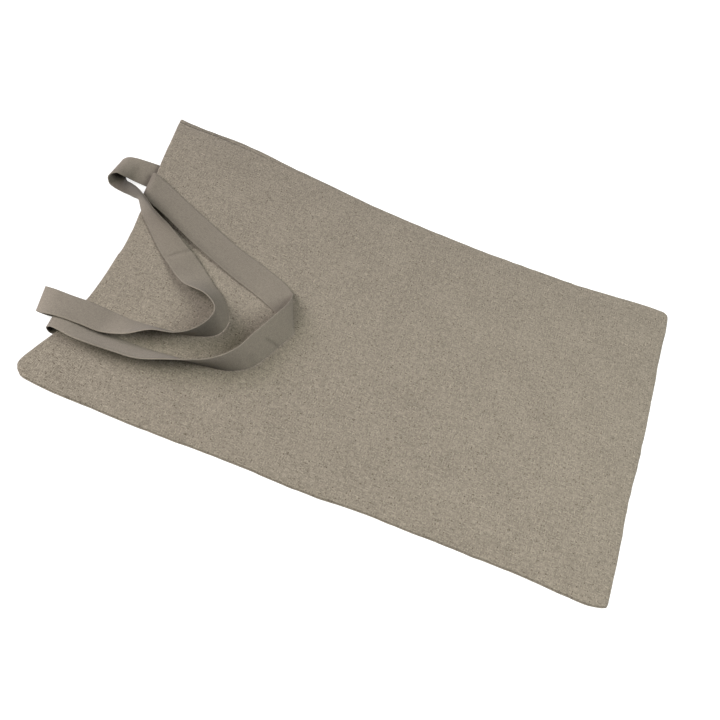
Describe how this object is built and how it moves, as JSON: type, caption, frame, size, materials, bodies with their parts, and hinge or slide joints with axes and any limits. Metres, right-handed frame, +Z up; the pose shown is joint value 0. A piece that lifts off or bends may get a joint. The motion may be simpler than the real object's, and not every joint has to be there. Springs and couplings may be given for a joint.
{
  "type": "linen bread bag",
  "caption": "Flat rectangular bread bag of coarse linen, open at one short end, with flat woven tape handles lying in loops on its upper panel.",
  "frame": {"origin": "on the surface the bag lies on, below the middle of the whole part", "axes": "+X along the bag from its mouth to its closed end, +Y across it, +Z up from the surface"},
  "size_m": [0.5262, 0.3124, 0.0337],
  "materials": {
    "lower_linen": "coarse plain weave, matt",
    "upper_linen": "coarse plain weave, matt",
    "woven_tape": "fine close weave, matt"
  },
  "bodies": {
    "root": {"lower_panel": "lower_linen", "upper_panel": "upper_linen", "front_handle": "woven_tape", "back_handle": "woven_tape"}
  },
  "joints": []
}
